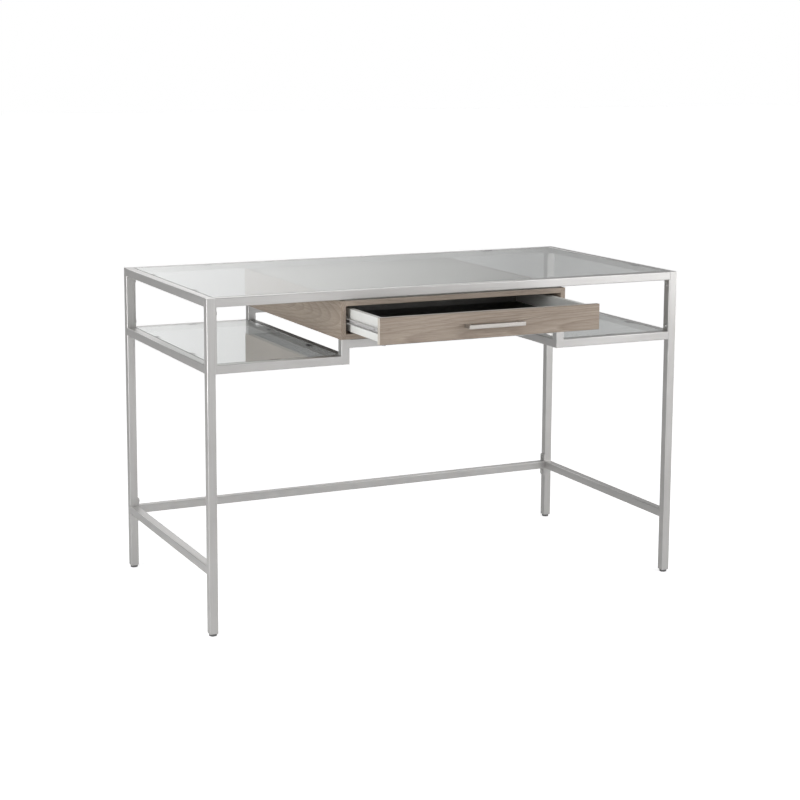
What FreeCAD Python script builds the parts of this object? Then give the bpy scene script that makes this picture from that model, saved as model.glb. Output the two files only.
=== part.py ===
"""A computer desk: a square-tube steel frame, an inset glass top, two glass side shelves and a
shallow pull-out centre drawer on ball-bearing slides.

Frame: +X to the sitter's right, +Y to the back, +Z up, millimetres. The origin is on the floor,
under the centre of the desk top. The drawer is drawn out, as it is stored.
"""

import FreeCAD, Part
import os

import Sketcher

SIZES = {
    # the whole desk
    "desk_width": 1219.2,
    "desk_depth": 609.6,
    "desk_height": 762,
    # square steel tube
    "tube_side": 20,
    "tube_wall": 1.5,
    "tube_corner": 1.5,
    "floor_gap": 6,
    # heights of the rails' lower faces
    "shelf_rail_level": 594,
    "support_rail_level": 631,
    "stretcher_level": 140,
    # the two posts in the front and rear frames that carry the drawer housing
    "post_centre": 280,
    # bolted joints between the end frames and the middle frames
    "plate_thick": 3,
    "plate_bolt_inset": 14,
    "stretcher_plate_length": 58,
    "stretcher_bolt_pitch": 41,
    "bolt_shank": 3,
    "bolt_reach": 12,
    "bolt_head": 5.5,
    "bolt_head_height": 3.3,
    "bolt_dome": 2.4,
    "bolt_key": 2,
    "bolt_clearance": 0.25,
    "thread_clearance": 0.05,
    # glass and its supports
    "glass_thick": 6,
    "glass_gap": 1,
    "glass_corner": 3,
    "tab_length": 30,
    "tab_width": 14,
    "tab_thick": 2,
    "bumper_thick": 1,
    "bumper_length": 22,
    "bumper_width": 9,
    # wooden drawer housing
    "panel_thick": 12,
    "housing_width": 583,
    "housing_height": 88,
    "housing_screw_x": 180,
    "housing_screw": 2,
    "housing_screw_bite": 9,
    "housing_screw_head": 4.2,
    "housing_screw_head_height": 2.6,
    # drawer
    "drawer_open": 177.2,
    "front_width": 555,
    "front_height": 59.5,
    "front_level": 665,
    "side_length": 350,
    "side_height": 52,
    "side_level": 667.5,
    "box_width": 533.8,
    "bottom_thick": 6,
    "bottom_level": 680,
    "groove_depth": 6,
    "groove_play": 0.1,
    "drawer_back_height": 32,
    # handle
    "handle_length": 142,
    "handle_bar": 10,
    "handle_height": 9,
    "handle_reach": 25,
    "handle_corner": 1.2,
    "handle_screw": 1.95,
    "handle_screw_bite": 8,
    "handle_screw_head": 4,
    "handle_screw_head_height": 2.4,
    # ball-bearing slides
    "slide_level": 692.5,
    "slide_length": 350,
    "slide_steel": 1,
    "slide_lead": 1,
    "outer_height": 17,
    "outer_depth": 10.5,
    "inner_height": 11,
    "inner_depth": 9.7,
    "inner_lead": 2,
    "cage_steel": 0.6,
    "cage_height": 13.6,
    "cage_depth": 7.2,
    "cage_length": 84,
    "cage_web_gap": 0.9,
    "ball": 0.95,
    "ball_pitch": 12,
    "ball_hole": 1.05,
    "slide_screw": 1.75,
    "slide_screw_head": 2.9,
    "slide_screw_head_hole": 3,
    "slide_screw_reach": 9,
    # glides and levelling screws
    "plug_height": 22,
    "plug_play": 0.05,
    "glide": 9,
    "glide_hollow": 6.3,
    "glide_corner": 1.6,
    "pad": 6,
    "pad_recess": 0.3,
    "pad_gap": 0.3,
    "stud": 3.95,
    "stud_bore": 4,
    "stud_length": 18,
}

HALF_WIDTH = "Sizes.desk_width / 2"
HALF_DEPTH = "Sizes.desk_depth / 2"
TUBE = "Sizes.tube_side"
INNER_X = f"({HALF_WIDTH} - {TUBE})"
INNER_Y = f"({HALF_DEPTH} - {TUBE})"
LEG_X = f"({HALF_WIDTH} - {TUBE} / 2)"
LEG_Y = f"({HALF_DEPTH} - {TUBE} / 2)"
TOP_RAIL_LEVEL = f"(Sizes.desk_height - {TUBE})"
SHELF_TOP = f"(Sizes.shelf_rail_level + {TUBE})"
HOUSING_LEVEL = f"(Sizes.support_rail_level + {TUBE})"
HOUSING_HALF = "(Sizes.housing_width / 2)"
HOUSING_INNER = f"({HOUSING_HALF} - Sizes.panel_thick)"
FRONT_FACE = f"(-{HALF_DEPTH} - Sizes.drawer_open)"
BOX_FRONT = f"({FRONT_FACE} + Sizes.panel_thick)"
BOX_HALF = "(Sizes.box_width / 2)"
SLIDE_FRONT = f"(-{HALF_DEPTH} + Sizes.panel_thick + Sizes.slide_lead)"
INNER_FRONT = f"({BOX_FRONT} + Sizes.inner_lead)"

SIDES = {"left": -1, "right": 1}
ENDS = {"front": -1, "rear": 1}
# distances of the glass's tabs from the middle of the desk
SHELF_TAB_Y = 128
TOP_TAB_X = 400
TOP_TAB_Y = 150
BALLS_PER_ROW = 7
# the ball rows stand at this share of the cage's depth
BALL_LINE = 0.6
# each slide's screws, as shares of its length
SLIDE_SCREW_PLACES = (0.1, 0.5, 0.9)

# turns that carry a piece's own +Z to the named direction
TURNS = {
    "+X": FreeCAD.Rotation(FreeCAD.Vector(0, 1, 0), 90),
    "-X": FreeCAD.Rotation(FreeCAD.Vector(0, 1, 0), -90),
    "+Y": FreeCAD.Rotation(FreeCAD.Vector(1, 0, 0), -90),
    "-Y": FreeCAD.Rotation(FreeCAD.Vector(1, 0, 0), 90),
    "+Z": FreeCAD.Rotation(),
    "-Z": FreeCAD.Rotation(FreeCAD.Vector(1, 0, 0), 180),
}

doc = FreeCAD.newDocument("computer_desk")
sheet = doc.addObject("Spreadsheet::Sheet", "Sizes")
parts = []


def fill_sheet():
    """One row a size: its name in column A, its value in column B under that name as alias."""
    for row, (name, value) in enumerate(SIZES.items(), start=1):
        sheet.set(f"A{row}", name)
        sheet.set(f"B{row}", str(value))
        sheet.setAlias(f"B{row}", name)
    doc.recompute()


def bind(thing, **expressions):
    """Bind properties of a document object to the sheet."""
    for name, expression in expressions.items():
        thing.setExpression(name, expression)


def put(thing, place, direction="+Z"):
    """Turn a piece and bind its base point to three expressions."""
    thing.Placement = FreeCAD.Placement(FreeCAD.Vector(), TURNS[direction])
    for axis, expression in zip("xyz", place):
        thing.setExpression(f"Placement.Base.{axis}", expression)


def keep(thing, label):
    """Make a finished object a sub-part under its own name."""
    thing.Label = label
    parts.append(thing)
    return thing


def block(label, size, centre):
    """A rectangular block about a centre; every size and coordinate is an expression."""
    box = doc.addObject("Part::Box", label)
    bind(box, Length=size[0], Width=size[1], Height=size[2])
    put(box, [f"({c}) - ({s}) / 2" for c, s in zip(centre, size)])
    return box


def rod(label, radius, length, place, direction="+Z"):
    """A cylinder that starts at a place and runs in a direction."""
    cylinder = doc.addObject("Part::Cylinder", label)
    bind(cylinder, Radius=radius, Height=length)
    put(cylinder, place, direction)
    return cylinder


def cut(label, base, tools):
    """The base with every tool taken out of it."""
    result = doc.addObject("Part::Cut", label)
    result.Base = base
    result.Tool = tools[0]
    if len(tools) > 1:
        group = doc.addObject("Part::MultiFuse", f"{label}_tools")
        group.Shapes = tools
        result.Tool = group
    return result


def fuse(label, first, second):
    result = doc.addObject("Part::Fuse", label)
    result.Base = first
    result.Tool = second
    return result


def group(label, pieces):
    """Several separate solids kept under one name."""
    result = doc.addObject("Part::Compound", label)
    result.Links = pieces
    return keep(result, label)


def square(body, label, side):
    """A square sketch about the body's own axis."""
    sketch = body.newObject("Sketcher::SketchObject", label)
    plane = next(f for f in body.Origin.OriginFeatures if f.Role == "XY_Plane")
    sketch.AttachmentSupport = [(plane, "")]
    sketch.MapMode = "FlatFace"
    corners = [FreeCAD.Vector(x, y, 0) for x, y in ((-8, -8), (8, -8), (8, 8), (-8, 8))]
    for index, corner in enumerate(corners):
        sketch.addGeometry(Part.LineSegment(corner, corners[(index + 1) % 4]), False)
    for index in range(4):
        sketch.addConstraint(Sketcher.Constraint("Coincident", index, 2, (index + 1) % 4, 1))
    for index, kind in enumerate(("Horizontal", "Vertical", "Horizontal", "Vertical")):
        sketch.addConstraint(Sketcher.Constraint(kind, index))
    sketch.addConstraint(Sketcher.Constraint("Symmetric", 0, 1, 1, 2, -1, 1))
    width = sketch.addConstraint(Sketcher.Constraint("DistanceX", 0, 1, 0, 2, 16))
    height = sketch.addConstraint(Sketcher.Constraint("DistanceY", 1, 1, 1, 2, 16))
    sketch.setExpression(f"Constraints[{width}]", side)
    sketch.setExpression(f"Constraints[{height}]", side)
    return sketch


def tube(label, length, place, direction, capped=False):
    """A square steel tube with rounded corners; a capped one is closed at its far end."""
    body = doc.addObject("PartDesign::Body", label)
    pad = body.newObject("PartDesign::Pad", f"{label}_pad")
    pad.Profile = square(body, f"{label}_outline", TUBE)
    bind(pad, Length=length)
    doc.recompute()
    rounding = body.newObject("PartDesign::Fillet", f"{label}_corners")
    rounding.Base = (pad, long_edges(pad.Shape))
    bind(rounding, Radius="Sizes.tube_corner")
    doc.recompute()
    before = rounding.Shape.Volume
    bore = body.newObject("PartDesign::Pocket", f"{label}_bore")
    bore.Profile = square(body, f"{label}_bore_outline", f"{TUBE} - 2 * Sizes.tube_wall")
    bore.Reversed = True
    bind(bore, Length=f"({length}) - {int(capped)} * Sizes.tube_wall")
    body.Tip = bore
    doc.recompute()
    inner_area = (SIZES["tube_side"] - 2 * SIZES["tube_wall"]) ** 2
    removed = before - bore.Shape.Volume
    assert abs(removed - inner_area * bore.Length.Value) < 1, f"{label}: the bore is wrong"
    put(body, place, direction)
    return body


def long_edges(shape):
    """Names of the edges that run along the body's own Z."""
    names = []
    for index, edge in enumerate(shape.Edges, start=1):
        direction = edge.Vertexes[-1].Point - edge.Vertexes[0].Point
        if abs(direction.z) > 0.99 * direction.Length:
            names.append(f"Edge{index}")
    return names


def button_bolt(label, place, direction):
    """A domed socket-head bolt whose head stands on the place and whose shank runs away."""
    back = {"+X": "-X", "-X": "+X"}[direction]
    head = rod(f"{label}_head", "Sizes.bolt_head", "Sizes.bolt_head_height", ["0", "0", "0"])
    doc.recompute()
    dome = doc.addObject("Part::Fillet", f"{label}_dome")
    dome.Base = head
    top = max(range(len(head.Shape.Edges)), key=lambda n: head.Shape.Edges[n].CenterOfMass.z)
    dome.Edges = [(top + 1, SIZES["bolt_dome"], SIZES["bolt_dome"])]
    shank = rod(f"{label}_shank", "Sizes.bolt_shank", "Sizes.bolt_reach", ["0", "0", "0"], "-Z")
    socket = doc.addObject("Part::Prism", f"{label}_socket")
    socket.Polygon = 6
    bind(socket, Circumradius="Sizes.bolt_key", Height="Sizes.bolt_head_height")
    put(socket, ["0", "0", "Sizes.bolt_head_height / 2"])
    bolt = cut(label, fuse(f"{label}_blank", dome, shank), [socket])
    put(bolt, place, back)
    return bolt


def countersunk_screw(label, place, direction):
    """A small flat-head screw whose head fills the slide's steel and whose shank runs on."""
    head = rod(f"{label}_head", "Sizes.slide_screw_head", "Sizes.slide_steel", ["0", "0", "0"])
    shank = rod(f"{label}_shank", "Sizes.slide_screw", "Sizes.slide_screw_reach", ["0", "0", "0"])
    screw = fuse(label, head, shank)
    put(screw, place, direction)
    return screw


def legs_and_bolts():
    """Four legs, the plates between the rails, and the bolts that draw the frames together."""
    plates, bolts, stretcher_plates, stretcher_bolts = [], [], [], []
    bolt_levels = {
        "upper": f"{TOP_RAIL_LEVEL} - Sizes.plate_bolt_inset",
        "lower": f"{SHELF_TOP} + Sizes.plate_bolt_inset",
    }
    middle = f"(Sizes.stretcher_level + {TUBE} / 2)"
    stretcher_levels = {
        "above": f"{middle} + Sizes.stretcher_bolt_pitch / 2",
        "below": f"{middle} - Sizes.stretcher_bolt_pitch / 2",
    }
    for end, back in ENDS.items():
        for side, sign in SIDES.items():
            corner = f"{end}_{side}"
            outward = "+X" if sign > 0 else "-X"
            leg_y = f"{back} * {LEG_Y}"
            body = tube(
                f"leg_{corner}_tube",
                "Sizes.desk_height - Sizes.floor_gap",
                [f"{sign} * {LEG_X}", leg_y, "Sizes.floor_gap"],
                "+Z",
                capped=True,
            )
            levels = dict(bolt_levels)
            if end == "rear":
                levels.update(stretcher_levels)
            threads = []
            for name, level in levels.items():
                place = [f"{sign} * ({INNER_X} - Sizes.plate_thick)", leg_y, level]
                thread = rod(
                    f"leg_{corner}_{name}_thread",
                    "Sizes.bolt_shank + Sizes.thread_clearance",
                    "Sizes.bolt_reach",
                    place,
                    outward,
                )
                threads.append(thread)
                bolt = button_bolt(f"bolt_{corner}_{name}", place, outward)
                (bolts if name in bolt_levels else stretcher_bolts).append(bolt)
            keep(cut(f"leg_{corner}", body, threads), f"leg_{corner}")
            plates.append(plate(corner, sign, leg_y, bolt_levels, SHELF_TOP, TOP_RAIL_LEVEL))
            if end == "rear":
                half = "Sizes.stretcher_plate_length / 2"
                low, high = f"{middle} - {half}", f"{middle} + {half}"
                name = f"stretcher_{side}"
                stretcher_plates.append(plate(name, sign, leg_y, stretcher_levels, low, high))
    group("connector_plates", plates)
    group("stretcher_plates", stretcher_plates)
    group("frame_bolts", bolts)
    group("stretcher_bolts", stretcher_bolts)


def plate(name, sign, y, levels, low, high):
    """A flat bar on a leg's inner face, from one height to another, with its bolt holes."""
    middle_x = f"{sign} * ({INNER_X} - Sizes.plate_thick / 2)"
    size = ["Sizes.plate_thick", TUBE, f"({high}) - ({low})"]
    bar = block(f"plate_{name}_bar", size, [middle_x, y, f"(({high}) + ({low})) / 2"])
    outward = "+X" if sign > 0 else "-X"
    holes = []
    for label, level in levels.items():
        hole = rod(
            f"plate_{name}_{label}_hole",
            "Sizes.bolt_shank + Sizes.bolt_clearance",
            "Sizes.plate_thick",
            [f"{sign} * ({INNER_X} - Sizes.plate_thick)", y, level],
            outward,
        )
        holes.append(hole)
    return cut(f"plate_{name}", bar, holes)


def top_frame():
    """Four rails flush with the legs' outer faces and tops."""
    level = f"{TOP_RAIL_LEVEL} + {TUBE} / 2"
    for end, back in ENDS.items():
        place = [f"-{INNER_X}", f"{back} * {LEG_Y}", level]
        name = f"top_rail_{end}"
        keep(tube(name, f"2 * {INNER_X}", place, "+X"), name)
    for side, sign in SIDES.items():
        place = [f"{sign} * {LEG_X}", f"-{INNER_Y}", level]
        name = f"top_rail_{side}"
        keep(tube(name, f"2 * {INNER_Y}", place, "+Y"), name)


def shelf_frames():
    """A four-sided rail frame each side, and the posts that carry the drawer housing."""
    level = f"Sizes.shelf_rail_level + {TUBE} / 2"
    bay = f"({INNER_X} - Sizes.post_centre - {TUBE} / 2)"
    for side, sign in SIDES.items():
        start = f"-{INNER_X}" if sign < 0 else f"Sizes.post_centre + {TUBE} / 2"
        for end, back in ENDS.items():
            rail = f"shelf_rail_{end}_{side}"
            keep(tube(rail, bay, [start, f"{back} * {LEG_Y}", level], "+X"), rail)
            post(f"post_{end}_{side}", sign, back)
        for place, x in (("side", LEG_X), ("inner", "Sizes.post_centre")):
            rail = f"shelf_rail_{place}_{side}"
            keep(tube(rail, f"2 * {INNER_Y}", [f"{sign} * {x}", f"-{INNER_Y}", level], "+Y"), rail)


def post(label, sign, back):
    """A short post between the shelf rails and the support rails. Its rounded corners are filled
    and ground flush where rails are welded to it."""
    x = f"{sign} * Sizes.post_centre"
    y = f"{back} * {LEG_Y}"
    face = f"({TUBE} - Sizes.tube_wall) / 2"
    shelf_level = f"Sizes.shelf_rail_level + {TUBE} / 2"
    support_level = f"Sizes.support_rail_level + {TUBE} / 2"
    along_x = [TUBE, "Sizes.tube_wall", TUBE]
    along_y = ["Sizes.tube_wall", TUBE, TUBE]
    welds = {
        "outer_weld": (along_y, [f"{sign} * (Sizes.post_centre + {face})", y, shelf_level]),
        "inner_weld": (along_x, [x, f"{back} * ({LEG_Y} - {face})", shelf_level]),
        "upper_weld": (along_y, [f"{sign} * (Sizes.post_centre - {face})", y, support_level]),
    }
    length = f"{HOUSING_LEVEL} - Sizes.shelf_rail_level"
    result = tube(f"{label}_tube", length, [x, y, HOUSING_LEVEL], "-Z", capped=True)
    for weld, (size, centre) in welds.items():
        filler = block(f"{label}_{weld}", size, centre)
        result = fuse(f"{label}_with_{weld}", result, filler)
    keep(result, label)


def support_rails():
    """A rail between each pair of posts, and the screws that hold the housing to it."""
    span = f"(Sizes.post_centre - {TUBE} / 2)"
    screws = []
    for end, back in ENDS.items():
        y = f"{back} * {LEG_Y}"
        level = f"Sizes.support_rail_level + {TUBE} / 2"
        body = tube(f"support_rail_{end}_tube", f"2 * {span}", [f"-{span}", y, level], "+X")
        holes = []
        for side, sign in SIDES.items():
            place = [f"{sign} * Sizes.housing_screw_x", y, "Sizes.support_rail_level"]
            name = f"housing_screw_{end}_{side}"
            radius = "Sizes.housing_screw + Sizes.bolt_clearance"
            holes.append(rod(f"{name}_hole", radius, TUBE, place))
            head = rod(
                f"{name}_head", "Sizes.housing_screw_head", "Sizes.housing_screw_head_height", place, "-Z"
            )
            reach = f"{TUBE} + Sizes.housing_screw_bite"
            screws.append(fuse(name, head, rod(f"{name}_shank", "Sizes.housing_screw", reach, place)))
        name = f"support_rail_{end}"
        keep(cut(name, body, holes), name)
    group("housing_screws", screws)


def stretchers():
    """Low rails between the legs of each end frame and between the rear legs."""
    level = f"Sizes.stretcher_level + {TUBE} / 2"
    for side, sign in SIDES.items():
        name = f"stretcher_{side}"
        keep(tube(name, f"2 * {INNER_Y}", [f"{sign} * {LEG_X}", f"-{INNER_Y}", level], "+Y"), name)
    reach = f"({INNER_X} - Sizes.plate_thick)"
    keep(tube("stretcher_rear", f"2 * {reach}", [f"-{reach}", LEG_Y, level], "+X"), "stretcher_rear")


def glass_sheet(label, low_x, high_x, top):
    """A float-glass sheet with rounded corners, inset between the rails and flush with them."""
    width = f"(({high_x}) - ({low_x}) - 2 * Sizes.glass_gap)"
    depth = f"(2 * {INNER_Y} - 2 * Sizes.glass_gap)"
    middle = [f"(({high_x}) + ({low_x})) / 2", "0", f"{top} - Sizes.glass_thick / 2"]
    slab = block(f"{label}_slab", [width, depth, "Sizes.glass_thick"], middle)
    doc.recompute()
    sheet_of_glass = doc.addObject("Part::Fillet", label)
    sheet_of_glass.Base = slab
    radius = SIZES["glass_corner"]
    names = [int(name.removeprefix("Edge")) for name in long_edges(slab.Shape)]
    sheet_of_glass.Edges = [(index, radius, radius) for index in names]
    return keep(sheet_of_glass, label)


def glass_and_supports():
    """The top, the two shelves, and the small welded tabs with soft bumpers under them."""
    glass_sheet("glass_top", f"-{INNER_X}", INNER_X, "Sizes.desk_height")
    shelf_edge = f"(Sizes.post_centre + {TUBE} / 2)"
    glass_sheet("shelf_glass_left", f"-{INNER_X}", f"-{shelf_edge}", SHELF_TOP)
    glass_sheet("shelf_glass_right", shelf_edge, INNER_X, SHELF_TOP)
    seats = []
    for sign in SIDES.values():
        for back in ENDS.values():
            y = f"{back * SHELF_TAB_Y}"
            seats.append((f"{sign} * {INNER_X}", y, -sign, 0, SHELF_TOP))
            seats.append((f"{sign} * {shelf_edge}", y, sign, 0, SHELF_TOP))
            middle = f"{sign} * ({INNER_X} + {shelf_edge}) / 2"
            seats.append((middle, f"{back} * {INNER_Y}", 0, -back, SHELF_TOP))
            seats.append((f"{sign} * {INNER_X}", f"{back * TOP_TAB_Y}", -sign, 0, "Sizes.desk_height"))
            seats.append((f"{sign * TOP_TAB_X}", f"{back} * {INNER_Y}", 0, -back, "Sizes.desk_height"))
    tabs, bumpers = [], []
    for number, (x, y, inward_x, inward_y, top) in enumerate(seats, start=1):
        bumper_top = f"{top} - Sizes.glass_thick"
        tab_top = f"({bumper_top} - Sizes.bumper_thick)"
        centre = [
            f"{x} + {inward_x} * Sizes.tab_width / 2",
            f"{y} + {inward_y} * Sizes.tab_width / 2",
        ]
        across_x = inward_x != 0
        tab = ["Sizes.tab_width", "Sizes.tab_length"]
        bumper = ["Sizes.bumper_width", "Sizes.bumper_length"]
        if not across_x:
            tab.reverse()
            bumper.reverse()
        tab_centre = centre + [f"{tab_top} - Sizes.tab_thick / 2"]
        bumper_centre = centre + [f"{bumper_top} - Sizes.bumper_thick / 2"]
        tabs.append(block(f"glass_tab_{number}", tab + ["Sizes.tab_thick"], tab_centre))
        bumpers.append(block(f"glass_bumper_{number}", bumper + ["Sizes.bumper_thick"], bumper_centre))
    group("glass_tabs", tabs)
    group("glass_bumpers", bumpers)


def housing():
    """The open-fronted wooden case that the drawer runs in."""
    thick = "Sizes.panel_thick"
    middle = f"({HOUSING_LEVEL} + Sizes.housing_height / 2)"
    for side, sign in SIDES.items():
        name = f"housing_{side}"
        centre = [f"{sign} * ({HOUSING_HALF} - {thick} / 2)", "0", middle]
        panel = block(f"{name}_panel", [thick, "Sizes.desk_depth", "Sizes.housing_height"], centre)
        outward = "+X" if sign > 0 else "-X"
        holes = []
        for number, share in enumerate(SLIDE_SCREW_PLACES, start=1):
            place = [f"{sign} * {HOUSING_INNER}", f"{SLIDE_FRONT} + {share} * Sizes.slide_length"]
            place.append("Sizes.slide_level")
            radius = "Sizes.slide_screw + Sizes.thread_clearance"
            holes.append(rod(f"{name}_hole_{number}", radius, "Sizes.slide_screw_reach", place, outward))
        keep(cut(name, panel, holes), name)
    size = [f"2 * {HOUSING_INNER}", "Sizes.desk_depth", thick]
    top_centre = ["0", "0", f"{HOUSING_LEVEL} + Sizes.housing_height - {thick} / 2"]
    keep(block("housing_top", size, top_centre), "housing_top")
    floor = block("housing_bottom_panel", size, ["0", "0", f"{HOUSING_LEVEL} + {thick} / 2"])
    holes = []
    for end, back in ENDS.items():
        for side, sign in SIDES.items():
            place = [f"{sign} * Sizes.housing_screw_x", f"{back} * {LEG_Y}", HOUSING_LEVEL]
            radius = "Sizes.housing_screw + Sizes.thread_clearance"
            name = f"housing_bottom_hole_{end}_{side}"
            holes.append(rod(name, radius, "Sizes.housing_screw_bite", place))
    keep(cut("housing_bottom", floor, holes), "housing_bottom")
    size = [f"2 * {HOUSING_INNER}", thick, f"Sizes.housing_height - 2 * {thick}"]
    keep(block("housing_back", size, ["0", f"{HALF_DEPTH} - {thick} / 2", middle]), "housing_back")


def drawer():
    """An inset front on a shallow box whose bottom sits in grooves."""
    thick = "Sizes.panel_thick"
    groove_height = "(Sizes.bottom_thick + 2 * Sizes.groove_play)"
    groove_level = "(Sizes.bottom_level + Sizes.bottom_thick / 2)"
    box_back = f"({BOX_FRONT} + Sizes.side_length)"
    box_middle = f"({BOX_FRONT} + Sizes.side_length / 2)"
    front_middle = "(Sizes.front_level + Sizes.front_height / 2)"
    panel = block(
        "drawer_front_panel",
        ["Sizes.front_width", thick, "Sizes.front_height"],
        ["0", f"{FRONT_FACE} + {thick} / 2", front_middle],
    )
    groove_width = f"(2 * ({BOX_HALF} - {thick}) + 2 * Sizes.groove_depth)"
    groove_centre = ["0", f"{BOX_FRONT} - Sizes.groove_depth / 2", groove_level]
    groove_size = [groove_width, "Sizes.groove_depth", groove_height]
    groove = block("drawer_front_groove", groove_size, groove_centre)
    holes = [groove]
    for side, sign in SIDES.items():
        place = [f"{sign} * (Sizes.handle_length - Sizes.handle_bar) / 2", BOX_FRONT, front_middle]
        radius = "Sizes.handle_screw + Sizes.bolt_clearance"
        holes.append(rod(f"drawer_front_hole_{side}", radius, thick, place, "-Y"))
    keep(cut("drawer_front", panel, holes), "drawer_front")
    for side, sign in SIDES.items():
        name = f"drawer_side_{side}"
        centre = [f"{sign} * ({BOX_HALF} - {thick} / 2)", box_middle]
        size = [thick, "Sizes.side_length", "Sizes.side_height"]
        board = block(f"{name}_board", size, centre + ["Sizes.side_level + Sizes.side_height / 2"])
        groove_x = f"{sign} * ({BOX_HALF} - {thick} + Sizes.groove_depth / 2)"
        size = ["Sizes.groove_depth", "Sizes.side_length", groove_height]
        cuts = [block(f"{name}_groove", size, [groove_x, box_middle, groove_level])]
        inward = "-X" if sign > 0 else "+X"
        for number, share in enumerate(SLIDE_SCREW_PLACES, start=1):
            place = [f"{sign} * {BOX_HALF}", f"{INNER_FRONT} + {share} * Sizes.slide_length"]
            place.append("Sizes.slide_level")
            radius = "Sizes.slide_screw + Sizes.thread_clearance"
            cuts.append(rod(f"{name}_hole_{number}", radius, "Sizes.slide_screw_reach", place, inward))
        keep(cut(name, board, cuts), name)
    inside = f"(2 * ({BOX_HALF} - {thick}))"
    back_level = "(Sizes.bottom_level + Sizes.bottom_thick)"
    size = [inside, thick, "Sizes.drawer_back_height"]
    centre = ["0", f"{box_back} - {thick} / 2", f"{back_level} + Sizes.drawer_back_height / 2"]
    keep(block("drawer_back", size, centre), "drawer_back")
    tongue = "(Sizes.groove_depth - Sizes.groove_play)"
    size = [f"{inside} + 2 * {tongue}", f"Sizes.side_length + {tongue}", "Sizes.bottom_thick"]
    centre = ["0", f"(({BOX_FRONT} - {tongue}) + {box_back}) / 2", groove_level]
    keep(block("drawer_bottom", size, centre), "drawer_bottom")


def handle():
    """A square U-bar pull and the two screws that hold it from inside the front."""
    middle = "(Sizes.front_level + Sizes.front_height / 2)"
    size = ["Sizes.handle_length", "Sizes.handle_reach", "Sizes.handle_height"]
    centre = ["0", f"{FRONT_FACE} - Sizes.handle_reach / 2", middle]
    bar = block("handle_bar_blank", size, centre)
    doc.recompute()
    rounded = doc.addObject("Part::Fillet", "handle_rounded")
    rounded.Base = bar
    radius = SIZES["handle_corner"]
    outer = []
    for index, edge in enumerate(bar.Shape.Edges, start=1):
        if edge.CenterOfMass.y < bar.Shape.BoundBox.YMax - radius:
            outer.append((index, radius, radius))
    rounded.Edges = outer
    size = [
        "Sizes.handle_length - 2 * Sizes.handle_bar",
        "Sizes.handle_reach - Sizes.handle_bar",
        "Sizes.handle_height",
    ]
    centre = ["0", f"{FRONT_FACE} - (Sizes.handle_reach - Sizes.handle_bar) / 2", middle]
    cuts = [block("handle_finger_gap", size, centre)]
    screws = []
    for side, sign in SIDES.items():
        x = f"{sign} * (Sizes.handle_length - Sizes.handle_bar) / 2"
        radius = "Sizes.handle_screw + Sizes.thread_clearance"
        bite = "Sizes.handle_screw_bite"
        cuts.append(rod(f"handle_thread_{side}", radius, bite, [x, FRONT_FACE, middle], "-Y"))
        place = [x, BOX_FRONT, middle]
        reach = f"Sizes.panel_thick + {bite}"
        shank = rod(f"handle_screw_{side}_shank", "Sizes.handle_screw", reach, place, "-Y")
        head = rod(
            f"handle_screw_{side}_head",
            "Sizes.handle_screw_head",
            "Sizes.handle_screw_head_height",
            place,
            "+Y",
        )
        screws.append(fuse(f"handle_screw_{side}", shank, head))
    keep(cut("handle", rounded, cuts), "handle")
    group("handle_screws", screws)


def channel(label, sign, wall_x, opens, height, depth, steel, start, length):
    """A pressed C-section along Y: its web stands at wall_x and its flanges point inwards (-1)
    or outwards (+1) of the desk's middle."""
    web_to_tip = f"{opens} * {depth} / 2"
    centre = [f"{sign} * ({wall_x} + {web_to_tip})", f"{start} + {length} / 2", "Sizes.slide_level"]
    blank = block(f"{label}_blank", [depth, length, height], centre)
    hollow_x = f"{sign} * ({wall_x} + {web_to_tip} + {opens} * {steel} / 2)"
    size = [f"{depth} - {steel}", length, f"{height} - 2 * {steel}"]
    return blank, block(f"{label}_hollow", size, [hollow_x] + centre[1:])


def slides():
    """Each side: a housing member, a drawer member, and a ball cage between the two."""
    outer_screws, inner_screws = [], []
    for side, sign in SIDES.items():
        outward, inward = ("+X", "-X") if sign > 0 else ("-X", "+X")
        members = {
            "outer": (HOUSING_INNER, -1, SLIDE_FRONT, "Sizes.outer_height", "Sizes.outer_depth"),
            "inner": (BOX_HALF, 1, INNER_FRONT, "Sizes.inner_height", "Sizes.inner_depth"),
        }
        for member, (wall, opens, start, height, depth) in members.items():
            name = f"slide_{member}_{side}"
            steel, length = "Sizes.slide_steel", "Sizes.slide_length"
            blank, hollow = channel(name, sign, wall, opens, height, depth, steel, start, length)
            cuts = [hollow]
            for number, share in enumerate(SLIDE_SCREW_PLACES, start=1):
                y = f"{start} + {share} * {length}"
                place = [f"{sign} * ({wall} + {opens} * {steel})", y, "Sizes.slide_level"]
                direction = outward if member == "outer" else inward
                hole = "Sizes.slide_screw_head_hole"
                cuts.append(rod(f"{name}_hole_{number}", hole, steel, place, direction))
                screw = countersunk_screw(f"{name}_screw_{number}", place, direction)
                (outer_screws if member == "outer" else inner_screws).append(screw)
            keep(cut(name, blank, cuts), name)
        slide_cage(side, sign)
    group("slide_outer_screws", outer_screws)
    group("slide_inner_screws", inner_screws)


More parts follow.
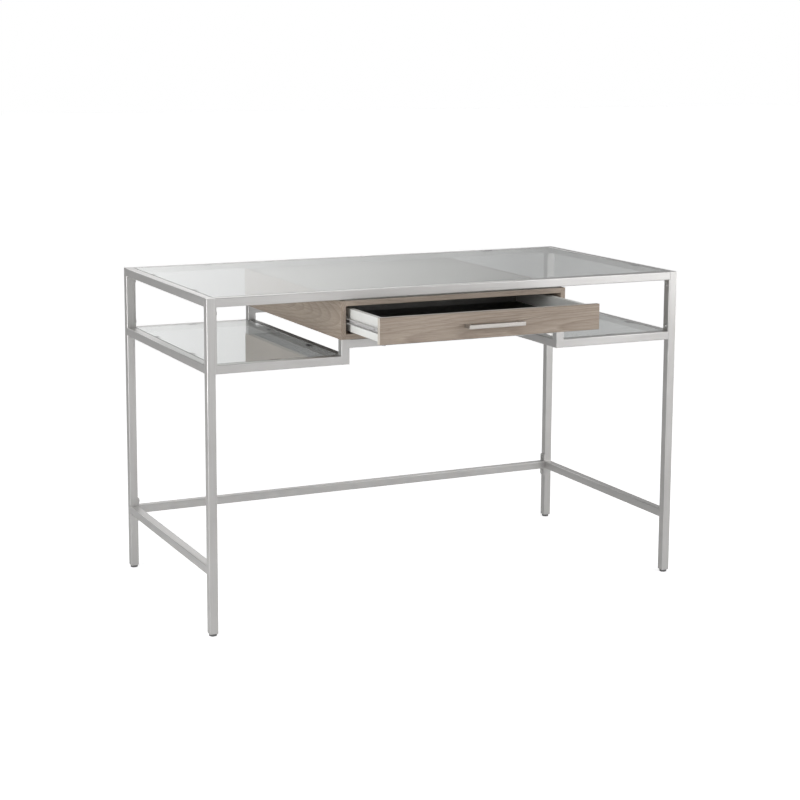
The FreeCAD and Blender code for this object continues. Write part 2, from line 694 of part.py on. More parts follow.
def slide_cage(side, sign):
    """A thin retainer with two rows of loose balls, centred on the members' overlap."""
    name = f"slide_cage_{side}"
    overlap_middle = f"(({SLIDE_FRONT} + {INNER_FRONT} + Sizes.slide_length) / 2)"
    start = f"({overlap_middle} - Sizes.cage_length / 2)"
    wall = f"({HOUSING_INNER} - Sizes.slide_steel - Sizes.cage_web_gap)"
    steel = "Sizes.cage_steel"
    height, depth = "Sizes.cage_height", "Sizes.cage_depth"
    blank, hollow = channel(name, sign, wall, -1, height, depth, steel, start, "Sizes.cage_length")
    cuts, balls = [hollow], []
    ball_x = f"{sign} * ({wall} - {BALL_LINE} * {depth})"
    for row, up in (("upper", 1), ("lower", -1)):
        middle = f"Sizes.slide_level + {up} * ({height} - {steel}) / 2"
        for number in range(BALLS_PER_ROW):
            step = number - (BALLS_PER_ROW - 1) / 2
            y = f"{overlap_middle} + {step} * Sizes.ball_pitch"
            hole_start = [ball_x, y, f"{middle} - {steel}"]
            cuts.append(rod(f"{name}_{row}_hole_{number}", "Sizes.ball_hole", f"2 * {steel}", hole_start))
            ball = doc.addObject("Part::Sphere", f"{name}_{row}_ball_{number}")
            bind(ball, Radius="Sizes.ball")
            put(ball, [ball_x, y, middle])
            balls.append(ball)
    group(name, [cut(f"{name}_retainer", blank, cuts)] + balls)


def feet():
    """A nylon glide plugged into each leg's open end, and a levelling screw inside its ring."""
    glides = []
    for end, back in ENDS.items():
        for side, sign in SIDES.items():
            corner = f"{end}_{side}"
            x, y = f"{sign} * {LEG_X}", f"{back} * {LEG_Y}"
            glides.append(glide(f"glide_{corner}", x, y))
            pad_height = "(Sizes.floor_gap - Sizes.pad_gap - Sizes.pad_recess)"
            pad = rod(f"pad_{corner}", "Sizes.pad", pad_height, [x, y, "Sizes.pad_recess"])
            reach = f"{pad_height} / 2 + Sizes.stud_length"
            middle = f"Sizes.pad_recess + {pad_height} / 2"
            stud = rod(f"stud_{corner}", "Sizes.stud", reach, [x, y, middle])
            keep(fuse(f"levelling_screw_{corner}", pad, stud), f"levelling_screw_{corner}")
    group("leg_glides", glides)


def glide(label, x, y):
    """A square plug with a round ring under it that stands on the floor."""
    ring = rod(f"{label}_ring", "Sizes.glide", "Sizes.floor_gap", [x, y, "0"])
    doc.recompute()
    rounded = doc.addObject("Part::Fillet", f"{label}_rounded")
    rounded.Base = ring
    radius = SIZES["glide_corner"]
    floor_edge = min(range(len(ring.Shape.Edges)), key=lambda n: ring.Shape.Edges[n].CenterOfMass.z)
    rounded.Edges = [(floor_edge + 1, radius, radius)]
    width = f"({TUBE} - 2 * Sizes.tube_wall - 2 * Sizes.plug_play)"
    height = "Sizes.plug_height"
    plug = block(f"{label}_plug", [width, width, height], [x, y, f"Sizes.floor_gap + {height} / 2"])
    recess = rod(f"{label}_recess", "Sizes.glide_hollow", "Sizes.floor_gap", [x, y, "0"])
    bore = rod(f"{label}_bore", "Sizes.stud_bore", height, [x, y, "Sizes.floor_gap"])
    return cut(label, fuse(f"{label}_blank", rounded, plug), [recess, bore])


def check_and_write():
    """Stop on any failed feature or shape, then write one file a sub-part."""
    doc.recompute()
    for thing in doc.Objects:
        failed = {"Invalid", "Error"} & set(thing.State)
        assert not failed, f"{thing.Label} is {failed}"
    os.makedirs("parts", exist_ok=True)
    for thing in parts:
        assert not thing.Shape.isNull() and thing.Shape.isValid(), f"{thing.Label} has no valid shape"
        thing.Shape.exportStep(f"parts/{thing.Label}.step")
        print(f"{thing.Label}: {len(thing.Shape.Solids)} solids, {thing.Shape.Volume:.0f} mm3")
    print(f"{len(parts)} sub-parts")


fill_sheet()
legs_and_bolts()
top_frame()
shelf_frames()
support_rails()
stretchers()
glass_and_supports()
housing()
drawer()
handle()
slides()
feet()
check_and_write()
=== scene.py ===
import math

import bpy
from mathutils import Matrix, Vector


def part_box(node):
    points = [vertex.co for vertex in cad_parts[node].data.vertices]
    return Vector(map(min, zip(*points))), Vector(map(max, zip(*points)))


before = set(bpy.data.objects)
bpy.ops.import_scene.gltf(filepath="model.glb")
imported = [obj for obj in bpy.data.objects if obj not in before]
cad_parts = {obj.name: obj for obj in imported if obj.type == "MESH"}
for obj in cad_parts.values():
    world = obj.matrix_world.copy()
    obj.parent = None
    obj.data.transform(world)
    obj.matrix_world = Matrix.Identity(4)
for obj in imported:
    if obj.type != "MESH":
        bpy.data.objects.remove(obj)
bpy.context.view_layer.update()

# Camera: where it stands, where it looks and its lens.
CAMERA_PLACE = (-1.8866, -3.9384, 1.3048)
CAMERA_YAW = math.radians(25.613)
CAMERA_PITCH = math.radians(-8.708)
CAMERA_ROLL = math.radians(0.305)
SENSOR_WIDTH = 36.0
CAMERA_LENS = 80.37
CAMERA_SHIFT_Y = -0.1

# Distance between the wood's growth rings, in metres.
RING_SPACING = 0.0045
# How far the rings wander, in metres, over a long stretch and a short one.
RING_BEND = 0.018
RING_RIPPLE = 0.004

# Colours are linear red, green, blue and alpha.
OPAQUE = 1.0

# Where a Mix node that mixes colours has its sockets.
MIX_SHARE, MIX_FIRST, MIX_SECOND, MIX_RESULT = 0, 6, 7, 2


def grey_level(level, warmth=0.0):
    """A neutral colour of that linear level; warmth above 0 adds red and takes away blue."""
    return (level * (1 + warmth), level, level * (1 - warmth), OPAQUE)


# ---------------------------------------------------------------- material building


class Finish:
    """A procedural material being built: its Principled shader, and short calls that add nodes."""

    def __init__(self, name, settings):
        self.material = bpy.data.materials.new(name)
        self.material.use_nodes = True
        self.tree = self.material.node_tree
        self.shader = self.tree.nodes["Principled BSDF"]
        self.shade(settings)
        self.coordinates = self.tree.nodes.new("ShaderNodeTexCoord")

    def fill(self, node, inputs):
        """Sets each named input of a node to a number or colour, or links it to another node's output."""
        for name, value in inputs.items():
            if isinstance(value, bpy.types.NodeSocket):
                self.tree.links.new(value, node.inputs[name])
            else:
                node.inputs[name].default_value = value

    def add(self, kind, inputs, **options):
        node = self.tree.nodes.new(kind)
        for option, value in options.items():
            setattr(node, option, value)
        self.fill(node, inputs)
        return node

    def stretched(self, scale):
        """The piece's own coordinates in metres, times a scale along each axis."""
        place = self.coordinates.outputs["Object"]
        return self.add("ShaderNodeMapping", {"Vector": place, "Scale": scale}).outputs["Vector"]

    def noise(self, vector, scale=1.0, detail=3.0, roughness=0.5, distortion=0.0):
        inputs = {
            "Vector": vector,
            "Scale": scale,
            "Detail": detail,
            "Roughness": roughness,
            "Distortion": distortion,
        }
        return self.add("ShaderNodeTexNoise", inputs).outputs["Fac"]

    def calculate(self, operation, first, second=0.0):
        node = self.add("ShaderNodeMath", {0: first, 1: second}, operation=operation)
        return node.outputs["Value"]

    def plus(self, first, second):
        return self.calculate("ADD", first, second)

    def minus(self, first, second):
        return self.calculate("SUBTRACT", first, second)

    def times(self, first, second):
        return self.calculate("MULTIPLY", first, second)

    def ranged(self, value, low, high, new_low, new_high):
        """value moved from the range low..high to new_low..new_high, and held inside it."""
        inputs = {
            "Value": value,
            "From Min": low,
            "From Max": high,
            "To Min": new_low,
            "To Max": new_high,
        }
        return self.add("ShaderNodeMapRange", inputs).outputs["Result"]

    def ramp(self, value, stops):
        """A colour ramp through (position, colour) stops."""
        node = self.add("ShaderNodeValToRGB", {"Fac": value})
        elements = node.color_ramp.elements
        while len(elements) < len(stops):
            elements.new(0.5)
        for element, (position, colour) in zip(elements, stops):
            element.position = position
            element.color = colour
        return node.outputs["Color"]

    def mix(self, share, first, second):
        """Two colours mixed; share 0 is the first and 1 is the second."""
        inputs = {MIX_SHARE: share, MIX_FIRST: first, MIX_SECOND: second}
        return self.add("ShaderNodeMix", inputs, data_type="RGBA").outputs[MIX_RESULT]

    def facing(self, axis):
        """How squarely the surface faces along X, Y or Z, either way: 1 is straight along it."""
        normal = self.coordinates.outputs["Normal"]
        parts = self.add("ShaderNodeSeparateXYZ", {"Vector": normal})
        return self.calculate("ABSOLUTE", parts.outputs[axis])

    def level_face(self, direction):
        """1 on faces that look straight up (direction 1) or straight down (-1), 0 elsewhere."""
        normal = self.coordinates.outputs["Normal"]
        height = self.add("ShaderNodeSeparateXYZ", {"Vector": normal}).outputs["Z"]
        return self.ranged(self.times(height, direction), 0.8, 0.9, 0.0, 1.0)

    def edge_mask(self):
        """1 on rounded edges, whose normals lie between the axes, and 0 on the flat faces."""
        squarest = self.calculate(
            "MAXIMUM",
            self.calculate("MAXIMUM", self.facing("X"), self.facing("Y")),
            self.facing("Z"),
        )
        return self.ranged(squarest, 0.995, 0.90, 0.0, 1.0)

    def shade(self, inputs):
        """Sets or links inputs of the material's own shader."""
        self.fill(self.shader, inputs)

    def bump(self, height, strength, distance):
        inputs = {"Height": height, "Strength": strength, "Distance": distance}
        self.shade({"Normal": self.add("ShaderNodeBump", inputs).outputs["Normal"]})


def along_axis(axis, along, across):
    """A scale of along on the named axis and across on the other two."""
    return tuple(along if letter == axis else across for letter in "XYZ")


# ---------------------------------------------------------------- materials


def satin_steel(axis):
    """Satin nickel coat on steel tube, with faint brush lines along the tube."""
    finish = Finish(f"satin_steel_{axis.lower()}", {"Metallic": 0.85, "Specular IOR Level": 0.5})
    brush_lines = finish.noise(finish.stretched(along_axis(axis, 7.0, 850.0)), detail=4.0)
    clouds = finish.noise(finish.stretched((1, 1, 1)), scale=9.0, detail=3.0)
    speckle = finish.noise(finish.stretched((1, 1, 1)), scale=1400.0, detail=2.0)
    tone = finish.plus(finish.times(brush_lines, 0.6), finish.times(clouds, 0.4))
    coat = finish.ramp(tone, [(0.3, grey_level(0.50, 0.02)), (0.7, grey_level(0.60, 0.015))])
    worn = finish.times(finish.edge_mask(), finish.ranged(clouds, 0.35, 0.65, 0.2, 0.7))
    colour = finish.mix(worn, coat, grey_level(0.72, 0.01))
    roughness = finish.minus(
        finish.ranged(tone, 0.3, 0.7, 0.34, 0.44),
        finish.times(worn, 0.08),
    )
    finish.shade({"Base Color": colour, "Roughness": roughness})
    height = finish.plus(brush_lines, finish.times(speckle, 0.5))
    finish.bump(height, 0.12, 0.0002)
    return finish.material


def handle_nickel():
    """Brushed nickel of the pull, finer and brighter than the frame."""
    finish = Finish("handle_nickel", {"Metallic": 1.0})
    lines = finish.noise(finish.stretched((14.0, 2200.0, 2200.0)), detail=5.0)
    clouds = finish.noise(finish.stretched((1, 1, 1)), scale=30.0)
    colour = finish.ramp(lines, [(0.3, grey_level(0.44, 0.06)), (0.7, grey_level(0.56, 0.05))])
    worn = finish.times(finish.edge_mask(), 0.6)
    finish.shade({"Base Color": finish.mix(worn, colour, grey_level(0.62, 0.03))})
    finish.shade({"Roughness": finish.ranged(clouds, 0.3, 0.7, 0.34, 0.44)})
    finish.bump(lines, 0.15, 0.0001)
    return finish.material


def zinc(name, metallic, level, roughness):
    """Galvanised steel with soft spangles and fine scratches along Y."""
    finish = Finish(name, {"Metallic": metallic})
    place = finish.stretched((1, 1, 1))
    crystals = finish.add("ShaderNodeTexVoronoi", {"Vector": place, "Scale": 260.0, "Randomness": 1.0})
    spangles = finish.add("ShaderNodeSeparateColor", {"Color": crystals.outputs["Color"]}).outputs["Red"]
    scratches = finish.noise(finish.stretched((900.0, 20.0, 900.0)), detail=4.0)
    tone = finish.times(finish.plus(spangles, scratches), 0.5)
    colour = finish.ramp(tone, [(0.2, grey_level(level * 0.88, 0.01)), (0.8, grey_level(level, 0.01))])
    finish.shade({"Base Color": colour})
    low, high = roughness - 0.06, roughness + 0.06
    finish.shade({"Roughness": finish.ranged(tone, 0.2, 0.8, low, high)})
    finish.bump(scratches, 0.1, 0.0001)
    return finish.material


def bolt_steel():
    """Nickel-plated bolts with fine turning marks."""
    finish = Finish("bolt_steel", {"Metallic": 1.0})
    marks = finish.noise(finish.stretched((1, 1, 1)), scale=700.0, detail=4.0)
    stains = finish.noise(finish.stretched((1, 1, 1)), scale=90.0)
    colour = finish.ramp(stains, [(0.3, grey_level(0.42, 0.02)), (0.7, grey_level(0.62, 0.01))])
    worn = finish.times(finish.edge_mask(), 0.3)
    finish.shade({"Base Color": finish.mix(worn, colour, grey_level(0.7))})
    finish.shade({"Roughness": finish.ranged(marks, 0.3, 0.7, 0.22, 0.36)})
    finish.bump(marks, 0.1, 0.0001)
    return finish.material


def clear_glass():
    """Clear float glass: faintly green, greener and duller at its ground edges, open to lamp light."""
    finish = Finish("clear_glass", {"Transmission Weight": 1.0, "IOR": 1.5})
    smears = finish.noise(finish.stretched((6.0, 14.0, 6.0)), detail=4.0, distortion=0.6)
    edge = finish.ranged(finish.facing("Z"), 0.95, 0.6, 0.0, 1.0)
    tint = finish.mix(edge, (0.935, 0.960, 0.948, OPAQUE), (0.60, 0.80, 0.73, OPAQUE))
    clean_roughness = finish.ranged(smears, 0.35, 0.75, 0.0, 0.03)
    ground_roughness = finish.times(edge, 0.25)
    finish.shade({"Base Color": tint})
    finish.shade({"Roughness": finish.plus(clean_roughness, ground_roughness)})
    open_to_lamps = finish.add("ShaderNodeBsdfTransparent", {"Color": (0.90, 0.93, 0.92, OPAQUE)})
    ray = finish.add("ShaderNodeLightPath", {}).outputs["Is Shadow Ray"]
    surface = finish.add(
        "ShaderNodeMixShader",
        {0: ray, 1: finish.shader.outputs["BSDF"], 2: open_to_lamps.outputs["BSDF"]},
    )
    output = finish.tree.nodes["Material Output"]
    finish.fill(output, {"Surface": surface.outputs["Shader"]})
    return finish.material


def rubber():
    """Matt black rubber."""
    finish = Finish("bumper_rubber", {"Specular IOR Level": 0.35})
    grain = finish.noise(finish.stretched((1, 1, 1)), scale=900.0, detail=4.0)
    dust = finish.noise(finish.stretched((1, 1, 1)), scale=120.0)
    colour = finish.ramp(dust, [(0.4, grey_level(0.012)), (0.8, grey_level(0.03))])
    finish.shade({"Base Color": colour})
    finish.shade({"Roughness": finish.ranged(grain, 0.3, 0.7, 0.62, 0.8)})
    finish.bump(grain, 0.2, 0.0002)
    return finish.material


def nylon():
    """Moulded grey nylon of the glides."""
    finish = Finish("glide_nylon", {"Specular IOR Level": 0.45})
    grain = finish.noise(finish.stretched((1, 1, 1)), scale=1100.0, detail=3.0)
    scuffs = finish.noise(finish.stretched((60.0, 60.0, 400.0)), detail=4.0)
    colour = finish.ramp(scuffs, [(0.35, grey_level(0.10)), (0.75, grey_level(0.16))])
    finish.shade({"Base Color": colour})
    finish.shade({"Roughness": finish.ranged(grain, 0.3, 0.7, 0.42, 0.58)})
    finish.bump(grain, 0.15, 0.0001)
    return finish.material


# Painted light on one face of a wooden panel: which way the face looks, how strongly it is painted, its
# colour.
# Painted reflection: the housing top's upward face is made pale to stand in for the glass's reflection
# above it.
PAINTED_TOP_REFLECTION = (1, 0.55, (0.70, 0.68, 0.64, OPAQUE))
# Painted shade: the housing bottom's downward face is made near-black, as if in deep shade.
PAINTED_UNDERSIDE_SHADE = (-1, 0.92, (0.022, 0.020, 0.018, OPAQUE))


def grain_coordinates(finish, grain_axis, across_axis):
    """The place along the grain, across it and into the board, as three outputs."""
    parts = finish.add("ShaderNodeSeparateXYZ", {"Vector": finish.coordinates.outputs["Object"]})
    into_axis = next(letter for letter in "XYZ" if letter not in (grain_axis, across_axis))
    return [parts.outputs[letter] for letter in (grain_axis, across_axis, into_axis)]


def ash_wood(name, grain_axis, across_axis, heart, rise, banded=False, coat=None):
    """Grey-washed flat-sawn wood. Growth rings are cylinders round a heart line that lies
    (across, into) metres from the axes and climbs by rise for each metre of grain, so the faces
    show long arches. A banded board has pale edge band on its ends and top, and a dark line
    round its face. The coat argument is painted light on one face: which way that face looks,
    how strongly it is painted and the painted colour."""
    finish = Finish(name, {"Specular IOR Level": 0.35})
    along, across, into = grain_coordinates(finish, grain_axis, across_axis)
    board = finish.add("ShaderNodeCombineXYZ", {"X": along, "Y": across, "Z": into}).outputs["Vector"]

    def board_noise(scale, detail, roughness=0.5):
        place = finish.add("ShaderNodeMapping", {"Vector": board, "Scale": scale}).outputs["Vector"]
        return finish.noise(place, detail=detail, roughness=roughness)

    heart_across, heart_into = heart
    slow_noise = finish.minus(board_noise((3.5, 20.0, 20.0), 1.0), 0.5)
    bend = finish.times(slow_noise, RING_BEND)
    quick_noise = finish.minus(board_noise((22.0, 90.0, 90.0), 2.0), 0.5)
    ripple = finish.times(quick_noise, RING_RIPPLE)
    waver = finish.plus(bend, ripple)
    side = finish.plus(finish.minus(across, heart_across), waver)
    climb = finish.times(along, rise)
    depth = finish.plus(finish.minus(into, heart_into), climb)
    squares = finish.plus(finish.calculate("POWER", side, 2.0), finish.calculate("POWER", depth, 2.0))
    heart_distance = finish.calculate("SQRT", squares)
    ring = finish.calculate("FRACT", finish.calculate("DIVIDE", heart_distance, RING_SPACING))
    fibres = board_noise((8.0, 420.0, 420.0), 6.0, 0.70)
    pores = finish.ranged(board_noise((40.0, 1300.0, 1300.0), 2.0), 0.58, 0.70, 0.0, 1.0)
    patches = board_noise((4.0, 24.0, 24.0), 3.0)

    early = (0.465, 0.390, 0.322, OPAQUE)
    middle = (0.415, 0.342, 0.280, OPAQUE)
    late = (0.240, 0.188, 0.148, OPAQUE)
    rings = finish.ramp(ring, [(0.0, early), (0.5, middle), (0.85, late), (0.97, early)])
    washed = finish.mix(0.45, rings, middle)
    fibred = finish.mix(finish.ranged(fibres, 0.36, 0.62, 0.75, 0.0), washed, (0.270, 0.213, 0.170, OPAQUE))
    patched = finish.mix(finish.ranged(patches, 0.4, 0.7, 0.0, 0.30), fibred, (0.52, 0.445, 0.375, OPAQUE))
    colour = finish.mix(finish.times(pores, 0.45), patched, (0.16, 0.12, 0.092, OPAQUE))
    if banded:
        band_mottle = board_noise((60.0, 60.0, 60.0), 3.0)
        band_shades = [(0.3, (0.56, 0.52, 0.46, OPAQUE)), (0.7, (0.66, 0.62, 0.56, OPAQUE))]
        band = finish.ramp(band_mottle, band_shades)
        on_edge = finish.calculate("MAXIMUM", finish.facing("X"), finish.facing("Z"))
        colour = finish.mix(finish.ranged(on_edge, 0.75, 0.85, 0.0, 0.85), colour, band)
        # Darkens a thin line along the front's rounded edges.
        dark_edge_line = finish.times(finish.edge_mask(), 0.9)
        colour = finish.mix(dark_edge_line, colour, (0.085, 0.062, 0.048, OPAQUE))
    # Painted light on one face: the top's pale painted reflection and the bottom's near-black painted
    # shade.
    if coat:
        direction, thickness, painted_light_colour = coat
        painted_light_share = finish.times(finish.level_face(direction), thickness)
        colour = finish.mix(painted_light_share, colour, painted_light_colour)
    finish.shade({"Base Color": colour})
    finish.shade({"Roughness": finish.ranged(fibres, 0.3, 0.7, 0.48, 0.60)})
    height = finish.minus(finish.times(fibres, 0.6), pores)
    finish.bump(height, 0.25, 0.0003)
    return finish.material


def foiled_board(name, shade):
    """Off-white foiled board, times a shade; a shade below 1 darkens it as painted shade."""
    finish = Finish(name, {"Specular IOR Level": 0.45})
    linen = finish.noise(finish.stretched((1, 1, 1)), scale=1300.0, detail=3.0)
    clouds = finish.noise(finish.stretched((1, 1, 1)), scale=14.0, detail=4.0)
    dull = (0.74 * shade, 0.745 * shade, 0.72 * shade, OPAQUE)
    clean = (0.80 * shade, 0.805 * shade, 0.78 * shade, OPAQUE)
    face = finish.ramp(clouds, [(0.3, dull), (0.7, clean)])
    rubbed = finish.times(finish.edge_mask(), 0.5)
    finish.shade({"Base Color": finish.mix(rubbed, face, grey_level(0.84 * shade, 0.01))})
    finish.shade({"Roughness": finish.ranged(linen, 0.3, 0.7, 0.38, 0.5)})
    finish.bump(linen, 0.12, 0.0002)
    return finish.material


def near_black_drawer_floor():
    """Near-black board of the drawer's floor."""
    finish = Finish("drawer_lining", {"Specular IOR Level": 0.55})
    grain = finish.noise(finish.stretched((1, 1, 1)), scale=1800.0, detail=4.0)
    wear = finish.noise(finish.stretched((1, 1, 1)), scale=25.0, detail=4.0)
    colour = finish.ramp(wear, [(0.35, grey_level(0.040, 0.08)), (0.8, grey_level(0.056, 0.06))])
    finish.shade({"Base Color": colour})
    finish.shade({"Roughness": finish.ranged(grain, 0.3, 0.7, 0.32, 0.46)})
    finish.bump(grain, 0.15, 0.0002)
    return finish.material


# ---------------------------------------------------------------- the CAD pieces' finish


def longest_axis(node):
    low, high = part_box(node)
    size = high - low
    return "XYZ"[max(range(3), key=lambda index: size[index])]


def round_edges(node, width, segments=2):
    """Softens a piece's sharp edges with a bevel, after joining the corners that the import splits."""
    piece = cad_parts[node]
    weld = piece.modifiers.new("weld", "WELD")
    weld.merge_threshold = 1e-6
    bevel = piece.modifiers.new("bevel", "BEVEL")
    bevel.width = width
    bevel.segments = segments
    bevel.limit_method = "ANGLE"
    bevel.angle_limit = math.radians(40)
    bevel.use_clamp_overlap = True


# How wide the rounding is on the edges of each kind of piece, in metres.
EDGE_WIDTHS = {
    "frame_steel": 0.0002,
    "clear_glass": 0.0008,
    "bumper_rubber": 0.0008,
    "housing_wood": 0.0005,
    "front_wood": 0.0007,
    "drawer_board": 0.0004,
    "drawer_lining": 0.0003,
    "handle_metal": 0.0005,
}


def dress_frame():
    """Gives every CAD piece its material, and soft edges to the kinds of piece listed in EDGE_WIDTHS."""
    steel = {axis: satin_steel(axis) for axis in "XYZ"}
    slots = {
        "bolts": bolt_steel(),
        "handle_metal": handle_nickel(),
        "clear_glass": clear_glass(),
        "bumper_rubber": rubber(),
        "drawer_board": foiled_board("drawer_board", 1.0),
        "drawer_lining": near_black_drawer_floor(),
        "zinc_screws": zinc("zinc_screws", 1.0, 0.62, 0.34),
        "slide_zinc": zinc("slide_zinc", 0.35, 0.70, 0.48),
        "glide_nylon": nylon(),
        "front_wood": ash_wood("front_wood", "X", "Z", (0.676, -0.445), 0.035, banded=True),
    }
    own_finishes = {
        "housing_left": ash_wood("left_wood", "Y", "Z", (0.700, -0.250), 0.085),
        "housing_right": ash_wood("right_wood", "Y", "Z", (0.700, 0.250), -0.085),
        "housing_top": ash_wood("top_wood", "X", "Y", (0.05, 0.58), 0.05, coat=PAINTED_TOP_REFLECTION),
        "housing_bottom": ash_wood("bottom_wood", "X", "Y", (0.05, 0.58), 0.05, coat=PAINTED_UNDERSIDE_SHADE),
        "housing_back": ash_wood("back_wood", "X", "Z", (0.690, 0.240), 0.075),
        # The drawer's back is the same board darkened to 0.35: painted shade for the dark inside of the
        # housing.
        "drawer_back": foiled_board("drawer_back_painted_shade", 0.35),
    }
    for name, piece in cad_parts.items():
        slot = piece.material_slots[0].material.name
        if name in own_finishes:
            material = own_finishes[name]
        elif slot == "frame_steel":
            material = steel[longest_axis(name)]
        else:
            material = slots[slot]
        piece.material_slots[0].material = material
        if slot in EDGE_WIDTHS:
            round_edges(name, EDGE_WIDTHS[slot])


# ---------------------------------------------------------------- stage, light and camera


# How much light the floor adds where the camera sees it, so that it stays pale to the horizon.
FLOOR_GLOW = 0.58


def make_floor():
    """A wide pale studio floor under the desk."""
    half = 30.0
    mesh = bpy.data.meshes.new("floor")
    corners = [(-half, -half, 0.0), (half, -half, 0.0), (half, half, 0.0), (-half, half, 0.0)]
    mesh.from_pydata(corners, [], [(0, 1, 2, 3)])
    floor = bpy.data.objects.new("floor", mesh)
    bpy.context.scene.collection.objects.link(floor)
    finish = Finish("studio_floor", {"Specular IOR Level": 0.2})
    paper = finish.noise(finish.stretched((1, 1, 1)), scale=2.0, detail=3.0)
    colour = finish.ramp(paper, [(0.3, grey_level(0.93)), (0.7, grey_level(0.95))])
    finish.shade({"Base Color": colour})
    seen = finish.add("ShaderNodeLightPath", {}).outputs["Is Camera Ray"]
    finish.shade({"Roughness": 0.9, "Emission Color": grey_level(1.0)})
    finish.shade({"Emission Strength": finish.times(seen, FLOOR_GLOW)})
    mesh.materials.append(finish.material)


# The studio round the desk, as brightness by direction, in degrees clockwise from straight back:
# low down, higher up, and straight overhead. BRIGHTEST is what a full share of a ramp stands for.
LOW_STUDIO = {
    -180: 0.45,
    -150: 0.3,
    -120: 1.1,
    -90: 0.0,
    -30: 0.0,
    0: 2.0,
    30: 0.42,
    60: 1.1,
    90: 0.0,
    120: 2.2,
    150: 0.45,
    180: 0.45,
}
HIGH_STUDIO = {-180: 0.5, -120: 0.0, -60: 0.0, 0: 0.2, 60: 0.0, 120: 0.9, 180: 0.5}
OVERHEAD = 0.7
BRIGHTEST = 4.0


def brightness_round(tree, turn, levels):
    """A ramp round the horizon through the levels, as shares of BRIGHTEST."""
    ramp = tree.nodes.new("ShaderNodeValToRGB")
    tree.links.new(turn, ramp.inputs["Fac"])
    elements = ramp.color_ramp.elements
    while len(elements) < len(levels):
        elements.new(0.5)
    for element, (degrees, level) in zip(elements, levels.items()):
        element.position = (degrees + 180) / 360
        element.color = (level / BRIGHTEST, level / BRIGHTEST, level / BRIGHTEST, OPAQUE)
    return ramp.outputs["Color"]


def stacked(tree, rise, elevations, lower, upper):
    """One colour below another, blended between two elevations in degrees."""
    start, end = elevations
    height = tree.nodes.new("ShaderNodeMapRange")
    height.inputs["From Min"].default_value = math.sin(math.radians(start))
    height.inputs["From Max"].default_value = math.sin(math.radians(end))
    tree.links.new(rise, height.inputs["Value"])
    blend = tree.nodes.new("ShaderNodeMix")
    blend.data_type = "RGBA"
    tree.links.new(height.outputs["Result"], blend.inputs[MIX_SHARE])
    for socket, colour in ((blend.inputs[MIX_FIRST], lower), (blend.inputs[MIX_SECOND], upper)):
        if isinstance(colour, bpy.types.NodeSocket):
            tree.links.new(colour, socket)
        else:
            socket.default_value = colour
    return blend.outputs[MIX_RESULT]


def make_world():
    """Plain white where the camera sees it. For light and reflections, bright panels low down at the
    front right corner and behind the desk, a dimmer room above them and a soft light overhead."""
    world = bpy.data.worlds.new("studio")
    bpy.context.scene.world = world
    world.use_nodes = True
    tree = world.node_tree
    tree.nodes.clear()
    direction = tree.nodes.new("ShaderNodeTexCoord")
    parts = tree.nodes.new("ShaderNodeSeparateXYZ")
    tree.links.new(direction.outputs["Generated"], parts.inputs["Vector"])
    azimuth = tree.nodes.new("ShaderNodeMath")
    azimuth.operation = "ARCTAN2"
    tree.links.new(parts.outputs["X"], azimuth.inputs[0])
    tree.links.new(parts.outputs["Y"], azimuth.inputs[1])
    turn = tree.nodes.new("ShaderNodeMapRange")
    turn.inputs["From Min"].default_value = -math.pi
    turn.inputs["From Max"].default_value = math.pi
    tree.links.new(azimuth.outputs["Value"], turn.inputs["Value"])
    above = grey_level(OVERHEAD / BRIGHTEST)
    high_band = brightness_round(tree, turn.outputs["Result"], HIGH_STUDIO)
    low_band = brightness_round(tree, turn.outputs["Result"], LOW_STUDIO)
    upper = stacked(tree, parts.outputs["Z"], (55, 75), high_band, above)
    bands = stacked(tree, parts.outputs["Z"], (26, 34), low_band, upper)
    lighting = tree.nodes.new("ShaderNodeBackground")
    lighting.inputs["Strength"].default_value = BRIGHTEST
    tree.links.new(bands, lighting.inputs["Color"])
    backdrop = tree.nodes.new("ShaderNodeBackground")
    backdrop.inputs["Color"].default_value = grey_level(1.0)
    ray = tree.nodes.new("ShaderNodeLightPath")
    choice = tree.nodes.new("ShaderNodeMixShader")
    tree.links.new(ray.outputs["Is Camera Ray"], choice.inputs[0])
    tree.links.new(lighting.outputs["Background"], choice.inputs[1])
    tree.links.new(backdrop.outputs["Background"], choice.inputs[2])
    output = tree.nodes.new("ShaderNodeOutputWorld")
    tree.links.new(choice.outputs["Shader"], output.inputs["Surface"])


def glass_kept_dark():
    """The glass sheets, as a group that lamps leave out, so that no lamp is mirrored in them."""
    sheets = bpy.data.collections.new("glass_kept_dark")
    for name in ("glass_top", "shelf_glass_left", "shelf_glass_right"):
        sheets.objects.link(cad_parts[name])
    for member in sheets.collection_objects:
        member.light_linking.link_state = "EXCLUDE"
    return sheets


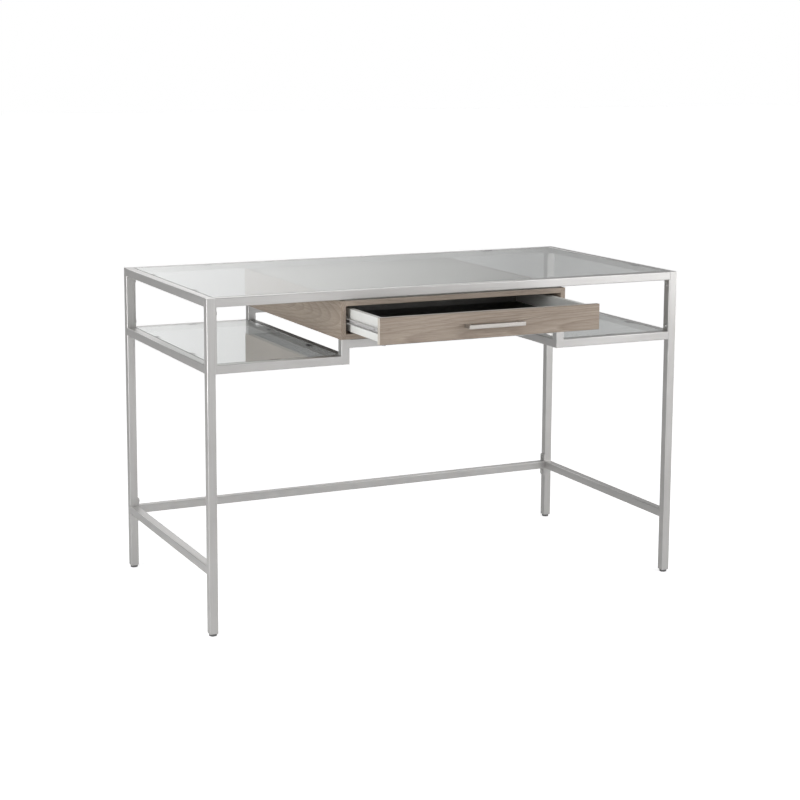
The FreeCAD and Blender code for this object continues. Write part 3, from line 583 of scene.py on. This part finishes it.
def soft_box(name, place, target, size, power, left_out):
    """A rectangular studio light at place, aimed at target, that leaves out a group of pieces."""
    lamp = bpy.data.lights.new(name, "AREA")
    lamp.shape = "RECTANGLE"
    lamp.size, lamp.size_y = size
    lamp.energy = power
    holder = bpy.data.objects.new(name, lamp)
    holder.location = place
    holder.visible_camera = False
    holder.light_linking.receiver_collection = left_out
    holder.rotation_euler = (Vector(target) - Vector(place)).to_track_quat("-Z", "Y").to_euler()
    bpy.context.scene.collection.objects.link(holder)


def make_lights():
    desk = (0.0, 0.0, 0.5)
    glass = glass_kept_dark()
    soft_box("front_right_light", (2.4, -3.2, 2.4), desk, (1.6, 1.6), 14.0, glass)
    soft_box("front_right_near_light", (1.5, -1.6, 1.0), (0.4, -0.3, 0.6), (0.9, 0.9), 5.8, glass)
    soft_box("front_light", (1.4, -4.0, 0.8), desk, (2.0, 1.2), 10.0, glass)
    soft_box("left_light", (-2.0, -0.6, 0.8), (-0.6, -0.1, 0.5), (1.0, 1.0), 20.0, glass)
    soft_box("rear_light", (0.4, 2.2, 2.0), (0.4, 0.0, 2.0), (0.8, 0.8), 5.0, glass)
    soft_box("rear_low_light", (1.2, 2.2, 1.375), (1.2, 0.0, 1.375), (0.8, 0.45), 2.0, glass)


def make_camera():
    """Stands where the photographer stood; the roll and the shift keep the same framing."""
    forward = Vector((
        math.sin(CAMERA_YAW) * math.cos(CAMERA_PITCH),
        math.cos(CAMERA_YAW) * math.cos(CAMERA_PITCH),
        math.sin(CAMERA_PITCH),
    ))
    level_right = forward.cross(Vector((0, 0, 1))).normalized()
    level_up = level_right.cross(forward)
    right = level_right * math.cos(CAMERA_ROLL) + level_up * math.sin(CAMERA_ROLL)
    up = level_up * math.cos(CAMERA_ROLL) - level_right * math.sin(CAMERA_ROLL)
    camera = bpy.data.objects.new("camera", bpy.data.cameras.new("camera"))
    camera.data.sensor_width = SENSOR_WIDTH
    camera.data.lens = CAMERA_LENS
    camera.data.shift_y = CAMERA_SHIFT_Y
    turn = Matrix((right, up, -forward)).transposed().to_4x4()
    camera.matrix_world = Matrix.Translation(CAMERA_PLACE) @ turn
    bpy.context.scene.collection.objects.link(camera)
    bpy.context.scene.camera = camera


bpy.context.scene.view_settings.view_transform = "Standard"
make_camera()
make_floor()
make_world()
make_lights()
dress_frame()
